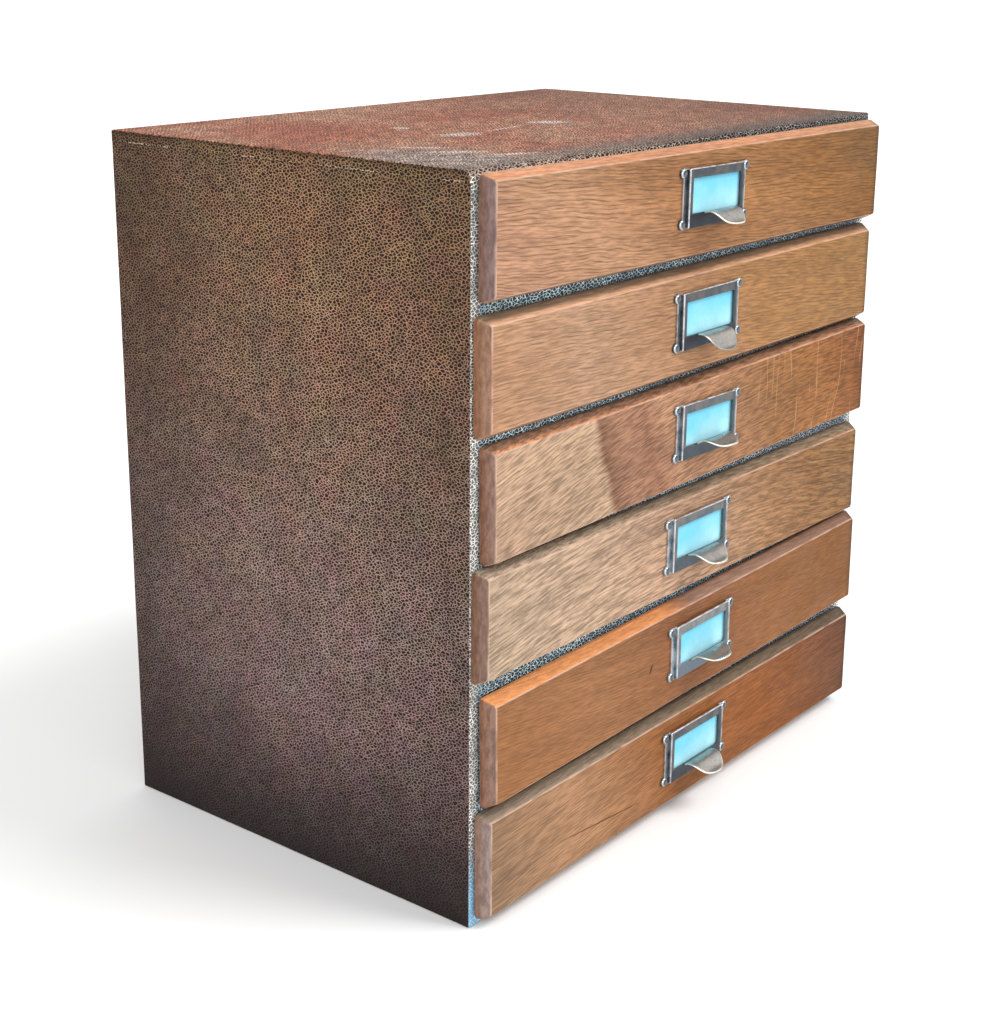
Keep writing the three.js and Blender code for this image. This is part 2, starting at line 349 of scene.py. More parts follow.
def side_ridge(look):
    """Tan that is warmest in the upper half, purplish lower down and nearly black at the foot."""
    drift = (look.place.noise(9, 3) - 0.5) * 0.12
    along = (look.z / CASE_TOP + drift).ramp([
        (0.0, (46, 42, 46)),
        (0.06, (78, 66, 68)),
        (0.13, (110, 90, 88)),
        (0.24, (154, 128, 124)),
        (0.42, (162, 134, 124)),
        (0.62, (156, 124, 105)),
        (0.82, (160, 122, 94)),
        (0.93, (154, 118, 88)),
        (1.0, (148, 116, 84)),
    ], SIDE_LIGHT)
    tint = look.place.noise(45, 3, 0.6, "Color") * 0.5 + 0.75
    # Darker towards the back and towards the front edge: partly the cloth's own tone, partly painted shade
    # where the light falls off.
    back = look.y.between(0.124, 0.0, 0.47, 1.0)
    front = look.y.between(-0.04, -0.12, 1.0, 0.76)
    return along * tint * (back * front)


def turned_edge(look):
    """Ridges and pits of the cloth that is turned over the front edges: silvery wear, blue at the foot."""
    foot = look.z.between(*BLUE_FOOT)
    shaded = abs(look.x).between(*SHADED)
    worn = look.place.noise(40, 3).between(0.3, 0.7)
    ridge = look.mix(worn, plain(236, 240, 234), plain(255, 255, 252))
    ridge = look.mix(foot, ridge, plain(170, 214, 236))
    ridge = look.mix(shaded, ridge, plain(198, 226, 238))
    pit = look.mix(shaded, plain(108, 104, 100), plain(70, 80, 88))
    return ridge, look.mix(foot, pit, plain(120, 166, 200))


def side_cloth():
    """The side sheets: brown on the sides and silvery where they turn over the front edge."""
    look = Look("side_cloth", Specular_IOR_Level=0.15)
    front = look.facing(FORWARDS).between(0.5, 0.9)
    edge_ridge, edge_pit = turned_edge(look)
    ridge = look.mix(front, side_ridge(look), edge_ridge)
    return leathercloth(look, ridge, look.mix(front, SIDE_PIT, edge_pit), 0.5)


def speckle(look):
    """How light the worn cloth is, about 1: specks a millimetre or two across."""
    return look.place.noise((480, 480, 640), 3, 0.65).between(0.38, 0.62, 0.48, 1.32)


def rail_cloth():
    """Blue-grey, palest at the left end, with worn white and black specks."""
    look = Look("edge_cloth", Specular_IOR_Level=0.15)
    along = look.x.between(*RAIL_ENDS).ramp([
        (0.0, (226, 248, 252)),
        (0.2, (214, 236, 244)),
        (1.0, (196, 208, 216)),
    ], PLAIN_LIGHT)
    return leathercloth(look, along * speckle(look), plain(58, 72, 82), 0.45)


def top_mark(look, centre, reach, degrees, softness=0.6):
    """A worn mark on the top: 1 inside an ellipse about this centre, with a broken edge."""
    offset = (look.place - (*centre, 0)).turned(-degrees, "Z")
    ragged = (offset * (1 / reach[0], 1 / reach[1], 0)).warped((3, 2, 1), 1.1)
    return ragged.length().between(1 - softness, 1.2, 1.0, 0.0)


# Scuffs on the top: centre, half length and half width in metres, and direction in degrees
SCUFFS = [
    ((-0.078, -0.025), (0.016, 0.008), -11),
    ((0.006, -0.019), (0.015, 0.008), -33),
    ((-0.076, 0.019), (0.005, 0.007), -20),
    ((-0.036, -0.022), (0.022, 0.0012), 8),
    ((-0.137, -0.05), (0.016, 0.0035), -48),
    ((-0.14, -0.074), (0.02, 0.005), -40),
    ((-0.128, -0.098), (0.018, 0.004), -25),
]


def top_ridge(look):
    """Reddish brown with pale scuffs, and rubbed to grey at the front left corner."""
    tint = look.place.noise(14, 4, 0.65).between(0.34, 0.66)
    left = look.mix(tint, paint(220, 122, 80), paint(240, 176, 136))
    right = look.mix(tint, paint(172, 102, 66), paint(208, 146, 106))
    colour = look.mix(look.x.between(-0.05, 0.16), left, right)
    front_edge = look.mix(look.x.between(-0.15, 0.02), paint(190, 170, 150), paint(134, 118, 104))
    colour = look.mix(look.y.between(-0.085, -0.121), colour, front_edge)
    rubbed = top_mark(look, (-0.163, -0.092), (0.03, 0.058), 8, 0.35)
    streaks = look.place.turned(40, "Z").noise((25, 160, 1), 3, 0.6)
    worn = look.mix(streaks.between(0.4, 0.6), paint(178, 160, 144), paint(232, 220, 206))
    colour = look.mix(rubbed * 0.85, colour, worn)
    blotch = look.place.turned(-36, "Z").noise((80, 260, 1), 3, 0.6)
    colour = colour * blotch.between(0.34, 0.66, 0.74, 1.32)
    for centre, reach, degrees in SCUFFS:
        scuff = top_mark(look, centre, reach, degrees)
        colour = look.mix(scuff, colour, paint(248, 232, 216, SIDE_LIGHT))
    return colour


def top_cloth():
    """One sheet of cloth: reddish on top, brown on the sides and worn black at the front."""
    look = Look("top_cloth", Specular_IOR_Level=0.1)
    grain = leather_grain(look)
    up = look.facing(UP).between(0.3, 0.8)
    front = look.facing(FORWARDS).between(0.5, 0.8)
    # Painted shade: the turned-down edge darkens towards the arris at the top of the case.
    band = side_ridge(look) * look.z.between(*ARRIS_SHADE, 1.0, 0.5)
    worn_through = look.place.noise((1, 60, 1), 3, 0.6).between(0.45, 0.6, 0.1, 0.7)
    band = look.mix(look.z.between(*CUT_EDGE) * worn_through, band, plain(196, 178, 156))
    front_ridge = look.x.between(*RAIL_ENDS).ramp([
        (0.0, (250, 244, 230)),
        (0.2, (222, 210, 192)),
        (0.5, (170, 164, 154)),
        (1.0, (152, 148, 144)),
    ], PLAIN_LIGHT)
    ridge = look.mix(front, band, front_ridge * speckle(look))
    ridge = look.mix(up, ridge, top_ridge(look))
    leftmost = look.x.between(-0.08, -0.17)
    front_pit = look.mix(leftmost, plain(24, 26, 34), plain(96, 84, 72))
    pit = look.mix(up, look.mix(front, SIDE_PIT, front_pit), TOP_PIT)
    gloss = grain.between(0, 1, 0.6, 0.42)
    return look.join(look.mix(grain, pit, ridge), gloss, grain, 0.16 * MM, 0.7)


# ---- Wood ----

# The oak fronts, from the top drawer down. face: colours from left to right, each with its place along
# the front from 0 to 1, mostly lighter towards the left, partly by a painted sheen, and lean is how far
# they slide left towards the top. top: the same for the upper bevel, and back is its colour towards
# the case, with how strong that is: below the top drawer, a painted shade under the front above. end:
# the end bevels. slope: how steeply the grain climbs at the left and right ends. bend: how far the
# growth lines wander. lines and strokes: how strong the growth lines and the short strokes between
# them are. rays: strength of the pale ray lines, where they start along the front, their direction in
# degrees and how far apart they are. marks: dark marks, each with its centre, its half length and
# width, its direction and its strength.
OAKS = [
    {
        "face": [(0, (196, 148, 118)), (0.2, (198, 150, 114)), (0.4, (177, 125, 84)),
                 (0.6, (177, 125, 79)), (0.8, (161, 110, 61)), (1, (135, 92, 46))],
        "top": [(0, (228, 158, 116)), (0.6, (214, 144, 100)), (1, (190, 138, 100))],
        "back": ((232, 170, 130), 0.3), "end": (143, 118, 114), "lean": 3,
        "slope": (-0.09, -0.03), "bend": 9, "lines": 0.7, "strokes": 0.2,
        "rays": None, "marks": [],
    },
    {
        "face": [(0, (200, 152, 116)), (0.2, (198, 156, 124)), (0.4, (186, 140, 104)),
                 (0.65, (176, 127, 80)), (1, (160, 116, 68))],
        "top": [(0, (236, 182, 144)), (0.5, (222, 168, 126)), (1, (206, 152, 110))],
        "back": ((112, 94, 78), 0.9), "end": (161, 124, 102), "lean": 1,
        "slope": (-0.02, -0.11), "bend": 4, "lines": 0.5, "strokes": 0.2,
        "rays": None, "marks": [],
    },
    {
        "face": [(0, (200, 164, 136)), (0.2, (198, 164, 134)), (0.238, (200, 166, 136)),
                 (0.252, (146, 104, 80)), (0.3, (176, 130, 102)), (0.36, (164, 116, 90)),
                 (0.41, (190, 142, 110)), (0.7, (156, 108, 66)), (0.85, (160, 104, 56)),
                 (1, (132, 76, 32))],
        "top": [(0, (232, 160, 116)), (0.25, (206, 144, 104)), (1, (178, 122, 84))],
        "back": ((122, 100, 86), 0.8), "end": (155, 122, 108), "lean": 1,
        "slope": (0.27, -0.05), "bend": 3, "lines": 0.3, "strokes": 0.36,
        "rays": (0.34, 0.6, 84, 8 * MM), "marks": [],
    },
    {
        "face": [(0, (194, 168, 142)), (0.2, (204, 172, 144)), (0.42, (196, 158, 130)),
                 (0.7, (172, 128, 90)), (0.85, (152, 108, 68)), (1, (146, 104, 62))],
        "top": [(0, (208, 180, 156)), (0.5, (180, 148, 120)), (1, (160, 124, 92))],
        "back": ((128, 118, 102), 0.7), "end": (142, 113, 100), "lean": 1,
        "slope": (0.22, -0.18), "bend": 3, "lines": 0.4, "strokes": 0.34,
        "rays": (0.3, 0.62, -14, 6 * MM), "marks": [],
    },
    {
        "face": [(0, (162, 110, 70)), (0.25, (168, 116, 76)), (0.5, (150, 96, 60)),
                 (0.7, (158, 104, 62)), (1, (142, 92, 50))],
        "top": [(0, (255, 172, 108)), (0.42, (250, 166, 106)), (0.48, (176, 138, 120)),
                (1, (160, 124, 104))],
        "back": ((140, 96, 70), 0.25), "end": (154, 122, 108), "lean": 1,
        "slope": (-0.14, 0.0), "bend": 4, "lines": 0.35, "strokes": 0.14,
        "rays": None, "marks": [((-0.0463, 0.0973), (0.0035, 0.0012), 60, 0.8)],
    },
    {
        "face": [(0, (156, 123, 95)), (0.2, (186, 140, 103)), (0.42, (159, 102, 57)),
                 (0.7, (158, 94, 46)), (0.85, (140, 84, 44)), (1, (112, 66, 36))],
        "top": [(0, (178, 158, 136)), (0.5, (150, 128, 106)), (1, (118, 96, 78))],
        "back": ((120, 106, 90), 0.5), "end": (163, 141, 134), "lean": 1,
        "slope": (0.12, 0.0), "bend": 5, "lines": 0.5, "strokes": 0.2,
        "rays": None, "marks": [((-0.089, 0.0225), (0.04, 0.0006), -5, 0.7)],
    },
]


def along_grain(look, size, slope):
    """The place, slid up or down so that the grain runs along X however it climbs."""
    left, right = slope
    climb = look.x * (look.x * ((right - left) / (2 * size.x)) + (left + right) / 2)
    return look.vector(look.x, look.y, look.z - climb)


def wood_figure(place, strokes):
    """How light the wood is, about 1: broad bands, short strokes and fine fibres along X."""
    layers = [((3, 50, 60), 3, 0.1), ((100, 760, 900), 2, strokes), ((110, 1600, 1800), 1, 0.08)]
    light = 1.0
    for scale, detail, reach in layers:
        layer = place.noise(scale, detail, 0.55)
        light = layer.between(0.33, 0.67, 1 - reach, 1 + 0.9 * reach) * light
    return light


def growth_lines(place, bend):
    """1 in the thin dark growth lines, which wander and are broken into short runs."""
    _, y, z = place.axes()
    sweep = place.noise((6, 14, 26), 1) * bend
    ripple = place.noise((48, 90, 140), 1) * 2.0
    wave = ((z + y * 0.7) / RING_PITCH + (sweep + ripple)).sine()
    runs = place.noise((45, 330, 420), 2, 0.6).between(0.36, 0.56)
    return wave.between(0.25, 1.0) * runs


def ray_lines(place, along, rays):
    """How strong the thin pale lines are where the saw has followed the wood's rays."""
    strength, start, degrees, pitch = rays
    turned = place.warped((16, 9, 16), 0.03).turned(degrees)
    _, _, height = turned.axes()
    wave = (height / pitch + turned.noise((12, 50, 50), 1)).sine()
    runs = turned.noise((22, 60, 60), 1).between(0.48, 0.62)
    return wave.between(0.8, 1.0) * runs * along.between(start, start + 0.1, 0.0, strength)


def dark_mark(look, middle, mark):
    """How strong a small dark mark is, on a front whose middle is here."""
    (x, z), (half_length, half_width), degrees, strength = mark
    offset = (look.place - (x - middle.x, 0, z - middle.z)).turned(degrees)
    flat = offset / (half_length, 1, half_width) * (1, 0, 1)
    return flat.warped((4, 1, 2), 0.6).length().between(0.4, 1.2, strength, 0.0)


def oak(index, size, bevel, middle):
    """Oak for one drawer front. The front is drawn about the middle of its back, as wide as size.x."""
    spec = OAKS[index]
    look = Look(f"oak_front_{index + 1}", Specular_IOR_Level=0.08)
    own_tree = (0.7 * index, 0.31 * index, 0.53 * index)
    moved = look.place + own_tree
    place = along_grain(look, size, spec["slope"]) + own_tree
    along = look.x / size.x + 0.5
    drift = (moved.noise(35, 2) - 0.5) * 0.03

    figure = wood_figure(place, spec["strokes"])
    lines = growth_lines(place, spec["bend"])
    # The face's colours are the oak's own tone, with a painted sheen that lightens the left.
    face = (along + look.z * spec["lean"] + drift).ramp(spec["face"]) * figure
    face = look.mix(lines * spec["lines"], face, face * 0.42)
    if spec["rays"]:
        face = look.mix(ray_lines(moved, along, spec["rays"]), face, paint(236, 188, 130))
    for mark in spec["marks"]:
        face = look.mix(dark_mark(look, middle, mark), face, paint(70, 34, 24))

    # Towards the case the upper bevel takes the back colour: below the top drawer, a painted shade under
    # the front above.
    back_colour, back_strength = spec["back"]
    backwards = look.y.between(-0.92 * size.y, -0.55 * size.y, 0.0, back_strength)
    top = look.mix(backwards, (along + drift).ramp(spec["top"]), paint(*back_colour)) * figure
    end_grain = moved.noise((400, 500, 160), 4, 0.65).between(0.3, 0.7, 0.68, 1.25)
    end = end_grain * paint(*spec["end"])
    unworn = look.y.between(-0.75 * size.y, -0.15 * size.y)
    end = look.mix(unworn, end, end * (0.84, 0.68, 0.54))
    colour = look.mix(look.facing(UP).between(0.45, 0.75), face, top)
    for side in (-1, 1):
        colour = look.mix(look.facing((side, 0, 0)).between(0.45, 0.75), colour, end)

    right_end = size.x / 2 - bevel
    colour = colour * look.x.between(right_end - HANDLED[0], right_end - HANDLED[1], 1.0, 0.66)
    # A pale line along the arris: partly wear, partly a painted highlight.
    colour = look.mix(arris_wear_and_highlight(look, size, bevel) * 0.62, colour, paint(240, 202, 180))
    relief = place.noise((30, 500, 700), 3) - lines
    gloss = moved.noise(30, 4).between(0.3, 0.7, 0.34, 0.5)
    return look.join(colour, gloss, relief, 0.12 * MM, 0.7)


def arris_wear_and_highlight(look, size, bevel):
    """1 along the sharp line between the face and its bevels, partly wear and partly a painted highlight,
    broken where it is less worn.
    """
    past_x = abs(look.x) - (size.x / 2 - bevel)
    past_z = abs(look.z) - (size.z / 2 - bevel)
    line = abs(look.math("MAXIMUM", past_x, past_z)).between(0.1 * MM, 0.55 * MM, 1.0, 0.0)
    front = look.y.between(BEVEL["straight"] - size.y, 0.6 * MM - size.y)
    wear = look.place.noise(90, 3).between(0.3, 0.6, 0.25, 1.0)
    return line * front * wear


def plain_wood(name, light, dark, squeeze):
    """Unvarnished softwood. The pattern is squeezed by this much along each axis, least along the grain."""
    look = Look(name)
    bent = look.place.warped(12, 0.006)
    bands = bent.noise(scaled(squeeze, 90), 3, 0.55)
    fibres = look.place.noise(scaled(squeeze, 900), 2, 0.6)
    stain = look.place.noise(7, 4, 0.6)
    rings = (bands * 9.0).sine()
    colour = look.mix(bands.between(0.3, 0.7), light, dark)
    colour = look.mix(rings.between(0.35, 1.0, 0.0, 0.5), colour, scaled(dark, 0.6))
    tone = fibres.between(0.36, 0.64, 0.78, 1.12) * stain.between(0.3, 0.7, 0.82, 1.1)
    return look.join(colour * tone, fibres.between(0.3, 0.7, 0.75, 0.6), fibres, 0.12 * MM, 0.5)


# ---- Metal and card ----

def edge_glint(look):
    """1 along the pull's bright edges, partly wear and partly painted glints: the plate's ends, the folds
    of the holder and its top edge.
    """
    glint = 0.0
    for distance, line, width in (
        (abs(look.x), PLATE["half_width"] - 0.1 * MM, 0.6 * MM),
        (abs(look.x), HOLDER["half_width"] - 0.5 * MM, 0.5 * MM),
        (look.z, PLATE["half_height"] - 0.2 * MM, 0.4 * MM),
    ):
        near = abs(distance - line).between(0.3 * width, width, 1.0, 0.0)
        glint = look.math("MAXIMUM", near, glint)
    return glint


def lip_rim(look):
    """1 along the bright edge of the thumb lip, partly wear and partly a painted highlight, which is duller
    at its right.
    """
    out = 0.0 - look.y - (HOLDER["depth"] + LIP["straight"])
    ahead = look.math("MAXIMUM", out, 0.0) / (LIP_REACH - LIP["straight"])
    across = look.x / LIP["half_width"]
    on_rim = (across * across + ahead * ahead).between(0.9, 0.97)
    return on_rim * across.between(0.3, 0.8, 1.0, 0.25)


def pull_metal(index):
    """Nickel-plated steel, dulled nearly black where it isn't rubbed bright. Its bright edges are partly
    painted glints, and the bar under the lip holds a painted shadow.
    """
    look = Look(f"pull_metal_{index}", Metallic=0.85)
    moved = look.place + (0.4 * index, 0, 0.3 * index)
    patina = moved.noise(160, 5, 0.65)
    spots = moved.noise(800, 2, 0.5)
    tarnish = patina.between(0.35, 0.65)
    film = patina.between(0.3, 0.7)
    tone = PULL_TONE[index - 1]

    plate = look.mix(tarnish, plain(104, 122, 132), plain(164, 172, 176))
    plate = plate * min(1.2, 0.36 * tone ** 2)
    face = look.mix(tarnish, plain(92, 88, 84), plain(68, 78, 84))
    right_bar = look.mix(film, plain(40, 54, 60), plain(70, 78, 80))
    face = look.mix(look.x.between(*PULL_SHADES["right_bar"]), face, right_bar)
    # The bar under the lip is painted dark as the lip's shadow.
    shadowed_lower_bar = scaled(plain(42, 48, 54), tone)
    face = look.mix(look.z.between(*PULL_SHADES["shadowed_lower_bar"]), face, shadowed_lower_bar)
    dull = look.mix(look.y.between(*PULL_SHADES["raised"]), plate, face * tone)
    on_lip = look.y.between(*PULL_SHADES["lip"])
    lip = look.mix(film, plain(178, 170, 162), plain(136, 138, 136))
    # The lip's rim: worn bright, and painted as a highlight.
    lip = look.mix(lip_rim(look), lip, plain(226, 224, 212))
    dull = look.mix(on_lip, dull, lip)
    dull = look.mix(spots.between(0.62, 0.72), dull, dull * 0.55)
    # Bright edges: partly rubbed metal, partly painted glints.
    worn = edge_glint(look) * patina.between(0.35, 0.6, 0.35, 1.0) * (1.0 - on_lip)
    colour = look.mix(worn, dull, plain(214, 210, 216))
    gloss = patina.between(0.3, 0.7, 0.26, 0.46)
    return look.join(colour, gloss, patina + spots, 0.05 * MM, 0.35)


def pin_metal():
    """Nickel with a tarnished crown and a bright rim, partly worn and partly a painted highlight."""
    look = Look("pin_metal", Metallic=0.9)
    patina = look.place.noise(500, 3, 0.6)
    crown = look.mix(patina.between(0.35, 0.65), plain(70, 76, 80), plain(112, 116, 118))
    # The rim: partly wear, partly a painted highlight.
    rim = look.y.between(-0.95 * MM, -0.7 * MM)
    colour = look.mix(rim, crown, plain(190, 198, 202))
    return look.join(colour, patina.between(0.3, 0.7, 0.2, 0.4), patina, 0.04 * MM, 0.3)


def card_stock(index, middle):
    """Pale blue card, paler towards its lower edge, with a faint paper tooth."""
    look = Look(f"card_{index}", Specular_IOR_Level=0.15)
    tooth = look.place.noise(1500, 3, 0.6)
    stain = look.place.noise(60, 3, 0.6).between(0.3, 0.7, 0.0, 0.4)
    down = middle.z - look.z + look.x * 0.15
    paler_down = look.math("MINIMUM", down.between(-9 * MM, 9 * MM, -0.2, 0.8) + stain, 1.0)
    colour = look.mix(paler_down, paint(130, 220, 248, CARD_LIGHT), paint(184, 242, 255, CARD_LIGHT))
    colour = colour * tooth.between(0.3, 0.7, 0.95, 1.04)
    return look.join(colour, 0.75, tooth, 0.03 * MM, 0.4)


# ---- Mesh helpers ----

SHARP_ANGLE = math.radians(60)


def rounded(before, corner, after, radius, steps=4):
    """The points of a round between two straight runs that meet at a corner."""
    before, corner, after = Vector(before), Vector(corner), Vector(after)
    back = (before - corner).normalized()
    ahead = (after - corner).normalized()
    half = back.angle(ahead) / 2
    reach = min(radius / math.tan(half), 0.49 * (before - corner).length, 0.49 * (after - corner).length)
    centre = corner + (back + ahead).normalized() * (reach / math.cos(half))
    start, end = corner + back * reach, corner + ahead * reach
    points = []
    for step in range(steps + 1):
        chord = start.lerp(end, step / steps) - centre
        points.append(centre + chord.normalized() * (start - centre).length)
    return points


def rounded_path(corners, steps=4):
    """A path through (x, y, radius) corners, with each corner rounded."""
    points = [Vector(corners[0][:2])]
    for before, corner, after in zip(corners, corners[1:], corners[2:]):
        if corner[2]:
            points += rounded(before[:2], corner[:2], after[:2], corner[2], steps)
        else:
            points.append(Vector(corner[:2]))
    return points + [Vector(corners[-1][:2])]


def round_point(x, z, radius, angle):
    """The point of a circle about (x, z) at this angle."""
    return (x + radius * math.cos(angle), z + radius * math.sin(angle))


def rounded_rectangle(half_width, half_height, radius, across, up, rise=0.0, steps=4):
    """A loop of (x, z) points. across and up are the places of the points on the straight runs."""
    x, z = half_width - radius, half_height - radius
    runs = [
        [(place * x, -half_height) for place in across],
        [(half_width, place * z) for place in up],
        [(-place * x, half_height) for place in across],
        [(-half_width, -place * z) for place in up],
    ]
    centres = [(x, -z), (x, z), (-x, z), (-x, -z)]
    loop = []
    for quarter, (run, (centre_x, centre_z)) in enumerate(zip(runs, centres)):
        loop += run
        for step in range(1, steps):
            angle = math.pi / 2 * (quarter - 1 + step / steps)
            loop.append(round_point(centre_x, centre_z, radius, angle))
    return [(point_x, point_z + rise) for point_x, point_z in loop]


def even_places(length, step):
    count = max(2, round(length / step))
    return [2 * index / count - 1 for index in range(count + 1)]


def skin(bm, loops, closed=False):
    """Joins equal loops of points into one shell, with the last joined to the first or both capped."""
    rings = [[bm.verts.new(point) for point in loop] for loop in loops]
    pairs = list(zip(rings, rings[1:])) + ([(rings[-1], rings[0])] if closed else [])
    for first, second in pairs:
        for index in range(len(first)):
            bm.faces.new((first[index - 1], first[index], second[index], second[index - 1]))
    if not closed:
        bm.faces.new(rings[0])
        bm.faces.new(rings[-1])


def box_corners(name):
    return [Vector(corner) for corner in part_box(name)]


def mesh_from(name, bm):
    mesh = bpy.data.meshes.new(name)
    bm.to_mesh(mesh)
    bm.free()
    return mesh


def add_object(name, data):
    made = bpy.data.objects.new(name, data)
    bpy.context.scene.collection.objects.link(made)
    return made


def add_piece(name, bm, material, body, place=None):
    """Makes a piece from the mesh, shaded smooth but for its sharp edges."""
    bmesh.ops.recalc_face_normals(bm, faces=bm.faces[:])
    for face in bm.faces:
        face.smooth = True
    for edge in bm.edges:
        edge.smooth = edge.calc_face_angle(0) < SHARP_ANGLE
    mesh = mesh_from(name, bm)
    mesh.materials.append(material)
    piece = add_object(name, mesh)
    if place:
        piece.matrix_world = place
    piece.modifiers.new("flat faces", "WEIGHTED_NORMAL").keep_sharp = True
    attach(piece, body)
    return piece


def soften(name, material, width=0.4 * MM):
    """Gives a CAD part its material and takes the sharpness off its edges."""
    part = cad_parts[name]
    part.data.materials.clear()
    part.data.materials.append(material)
    weld = part.modifiers.new("weld", "WELD")
    weld.merge_threshold = 0.001 * MM
    bevel = part.modifiers.new("bevel", "BEVEL")
    bevel.width = width
    bevel.segments = 2
    bevel.limit_method = "ANGLE"
    part.modifiers.new("flat faces", "WEIGHTED_NORMAL")


def placed(name, back):
    """The place of a drawer's front or card: the middle of its box, at the depth back, turned as it is."""
    low, high = box_corners(name)
    centre = (low + high) / 2
    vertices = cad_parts[name].data.vertices
    corners = {tuple(round(value, 6) for value in vertex.co) for vertex in vertices}
    offsets = [(x - centre.x, z - centre.z) for x, _, z in corners]
    wide = sum(x * x - z * z for x, z in offsets)
    twist = sum(2 * x * z for x, z in offsets)
    tilt = math.atan2(twist, wide) / 2
    return Matrix.Translation((centre.x, back, centre.z)) @ Matrix.Rotation(-tilt, 4, "Y")


# ---- Case ----

def cover_waviness(point):
    """Cloth never lies quite flat: a smooth wave of up to a quarter of a millimetre."""
    return 0.25 * MM * noise.noise(Vector(point) * 18)


def folded_path(inner_x, outer_x, front, back, corner):
    """One face of a side cover, seen from above: along the front, the outside and the back."""
    ends = [(inner_x, front, 0), (outer_x, front, corner), (outer_x, back, corner), (inner_x, back, 0)]
    return rounded_path(ends)


def build_side_cover(side, material):
    """A sheet down one side, turned over the front and back edges of the board."""
    name = "left_cover" if side < 0 else "right_cover"
    low, high = box_corners(name)
    outer_x = max(abs(low.x), abs(high.x))
    inner_x = min(abs(low.x), abs(high.x))
    outer_path = folded_path(inner_x, outer_x, low.y, high.y, CLOTH_CORNER)
    inner_path = folded_path(inner_x, outer_x - CLOTH, low.y + CLOTH, high.y - CLOTH, CLOTH_CORNER - CLOTH)
    middle = len(outer_path) // 2
    steps = round((high.y - low.y) / CLOTH_STEP)
    for path in (outer_path, inner_path):
        start, end = path[middle - 1], path[middle]
        path[middle:middle] = [start.lerp(end, step / steps) for step in range(1, steps)]
    ring = outer_path + inner_path[::-1]
    bm = bmesh.new()
    levels = round((high.z - low.z) / CLOTH_STEP)
    loops = []
    for level in range(levels + 1):
        z = low.z + (high.z - low.z) * level / levels
        loops.append([wavy_cover_point(side, point, z, outer_x) for point in ring])
    skin(bm, loops)
    cover = add_piece(f"{name}_cloth", bm, material, "case")
    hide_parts(name)


def wavy_cover_point(side, point, z, outer_x):
    """Moves a point of the outside in by the cloth's waviness, but not where the top sheet is glued on."""
    x, y = point
    if x > outer_x - 1.5 * CLOTH:
        x -= abs(cover_waviness((side, y, z))) * min(1, (CASE_TOP - z) / GLUED_REACH)
    return (side * x, y, z)


def build_top_cover(material):
    """The top sheet, turned down over all four edges and glued over the side sheets."""
    low, high = box_corners("top_cover")
    side_low, _ = box_corners("left_cover")
    middle_y = (low.y + high.y) / 2
    half_width, half_depth = high.x, (high.y - low.y) / 2
    drop = high.z - low.z
    steps = [WORN_EDGE["reach"] * step / 5 for step in range(1, 6)]
    profile = rounded_path([(0, -drop, 0), (0, 0, TOP_CORNER), (steps[1], 0, 0)], 5)
    profile += [(inset, 0) for inset in steps[2:] + [6 * MM]]
    across = even_places(2 * half_width, CLOTH_STEP)
    up = even_places(2 * half_depth, CLOTH_STEP)
    near_ends = [1 - step / half_depth for step in steps]
    up = sorted(up + near_ends + [-place for place in near_ends])

    def loop(inset_x, inset_y, z, corner):
        flat = rounded_rectangle(half_width - inset_x, half_depth - inset_y, corner, across, up)
        return [(x, middle_y + y, z - worn_drop(x, y + half_depth, (z - low.z) / drop)) for x, y in flat]

    inside = half_width - abs(side_low.x) + CLOTH
    past_wear = WORN_EDGE["reach"]
    loops = [
        loop(inside + past_wear, CLOTH + past_wear, high.z - CLOTH, 0.4 * MM),
        loop(inside, CLOTH, high.z - CLOTH, 0.4 * MM),
        loop(inside, CLOTH, low.z, 0.4 * MM),
    ]
    loops += [loop(inset, inset, high.z + z, 1.2 * MM - 0.1 * inset) for inset, z in profile]
    bm = bmesh.new()
    skin(bm, loops)
    cover = add_piece("top_cover_cloth", bm, material, "case")
    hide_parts("top_cover")


def worn_drop(x, distance, share):
    """How far the top's front edge is worn down, this far from the edge. It is most at the left end."""
    wear = (WORN_EDGE["none"] - x) / (WORN_EDGE["none"] - WORN_EDGE["most"])
    return WORN_EDGE["drop"] * share * min(max(wear, 0), 1) * max(0, 1 - distance / WORN_EDGE["reach"]) ** 2


def build_case():
    sides = side_cloth()
    rails = rail_cloth()
    case_wood = plain_wood("case_wood", paint(150, 112, 78), paint(118, 84, 58), (1, 0.08, 1))
    back_wood = plain_wood("back_panel", paint(112, 84, 62), paint(86, 64, 48), (1, 1, 0.08))
    for side in (-1, 1):
        build_side_cover(side, sides)
    build_top_cover(top_cloth())
    for name in ("left_side", "right_side", "top_board", "bottom_board"):
        soften(name, case_wood)
    soften("back_panel", back_wood)
    for index in range(1, len(DRAWERS)):
        soften(f"divider_{index}", case_wood)
        soften(f"divider_{index}_facing", rails, 0.25 * MM)


# ---- Drawers ----

def build_front(index):
    name = f"drawer_{index}_front"
    place = placed(name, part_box(name)[1][1])
    size, bevel = front_size(name, place)
    outline = [
        (0, 0, 0),
        (0, -BEVEL["straight"], ARRIS_RADIUS),
        (bevel, -size.y, ARRIS_RADIUS),
        (3 * bevel, -size.y, 0),
    ]
    across = even_places(size.x, 5 * MM)
    up = even_places(size.z, 5 * MM)
    loops = []
    for inset, y in rounded_path(outline):
        share = min(inset / bevel, 1)
        corner = BEVEL["corner"] + (BEVEL["face_corner"] - BEVEL["corner"]) * share
        flat = rounded_rectangle(size.x / 2 - inset, size.z / 2 - inset, corner, across, up)
        loops.append([uneven_point(index, x, y, z, share) for x, z in flat])
    bm = bmesh.new()
    skin(bm, loops)
    material = oak(index - 1, size, bevel, place.translation)
    front = add_piece(f"{name}_board", bm, material, f"drawer_{index}", place)
    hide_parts(name)


